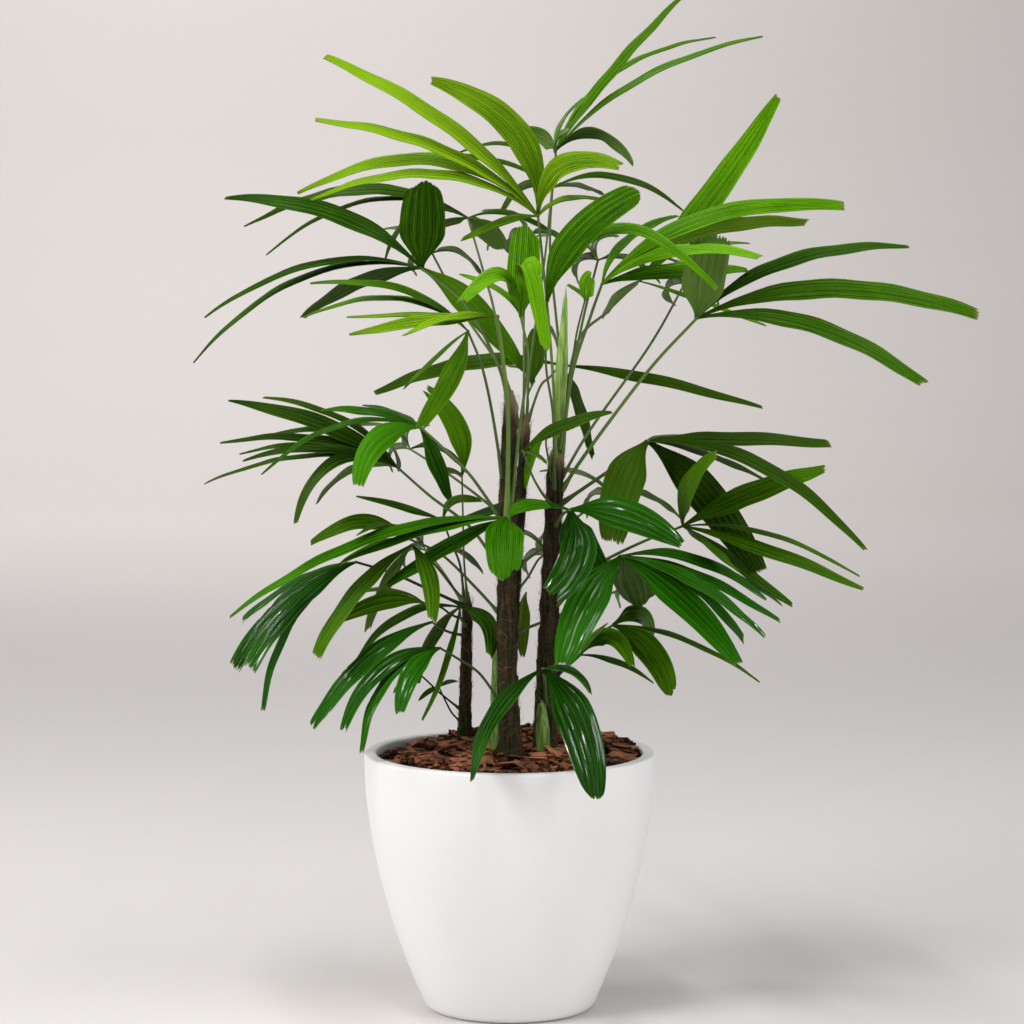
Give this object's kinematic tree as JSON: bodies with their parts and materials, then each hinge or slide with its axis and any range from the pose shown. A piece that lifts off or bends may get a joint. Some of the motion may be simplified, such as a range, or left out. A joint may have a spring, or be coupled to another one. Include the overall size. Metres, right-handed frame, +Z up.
{
  "type": "potted lady palm",
  "caption": "Potted lady palm: slender fibrous canes with fans of long blunt-tipped leaflets in a tall white tapering pot filled with bark mulch.",
  "frame": {"origin": "centre of the flat underside of the pot", "axes": "+Z up along the pot's axis, +X to the right and -Y towards the viewer as in the picture"},
  "size_m": [0.7906, 0.58, 1.0163],
  "materials": {
    "leaf_bright": "satin",
    "leaf_green": "satin",
    "leaf_deep": "glossy",
    "leaf_old": "matte",
    "young_green": "satin",
    "cane_fibre": "matte",
    "mulch_bark": "matte",
    "pot_white": "matte"
  },
  "bodies": {
    "root": {"cane_left": "cane_fibre", "cane_middle": "cane_fibre", "cane_rear": "cane_fibre", "cane_right": "cane_fibre", "frond_back_dusk": "leaf_deep", "frond_back_small": "leaf_deep", "frond_back_upper": "leaf_deep", "frond_bud_small": "leaf_bright", "frond_centre_bright": "leaf_bright", "frond_centre_broad": "leaf_bright", "frond_centre_dark": "leaf_deep", "frond_centre_strap": "leaf_bright", "frond_far_centre": "leaf_deep", "frond_far_crest": "leaf_deep", "frond_far_left_high": "leaf_deep", "frond_far_left_low": "leaf_deep", "frond_far_left_mid": "leaf_deep", "frond_far_right_edge": "leaf_deep", "frond_far_right_high": "leaf_deep", "frond_far_right_low": "leaf_deep", "frond_far_right_mid": "leaf_deep", "frond_front_glossy": "leaf_deep", "frond_front_light": "leaf_bright", "frond_front_long": "leaf_green", "frond_left_arched": "leaf_green", "frond_left_bow": "leaf_deep", "frond_left_claw": "leaf_deep", "frond_left_cluster": "leaf_deep", "frond_left_crown": "leaf_green", "frond_left_glossy": "leaf_deep", "frond_left_glow": "leaf_green", "frond_left_high": "leaf_deep", "frond_left_low": "leaf_green", "frond_left_olive": "leaf_green", "frond_left_short": "leaf_green", "frond_left_slim": "leaf_green", "frond_left_spoon": "leaf_deep", "frond_left_upper": "leaf_deep", "frond_old_leaf": "leaf_old", "frond_right_fan": "leaf_deep", "frond_right_glossy": "leaf_deep", "frond_right_lime": "leaf_bright", "frond_right_long": "leaf_green", "frond_right_low": "leaf_green", "frond_right_near": "leaf_deep", "frond_right_nub": "leaf_green", "frond_right_spread": "leaf_green", "frond_right_tall": "leaf_bright", "frond_seedling_left": "leaf_green", "frond_seedling_low": "leaf_green", "frond_top_bright": "leaf_bright", "frond_top_tall": "leaf_green", "mulch": "mulch_bark", "pot": "pot_white", "sheath_right": "young_green", "shoot_middle": "young_green", "spear_leaf": "young_green"}
  },
  "joints": []
}
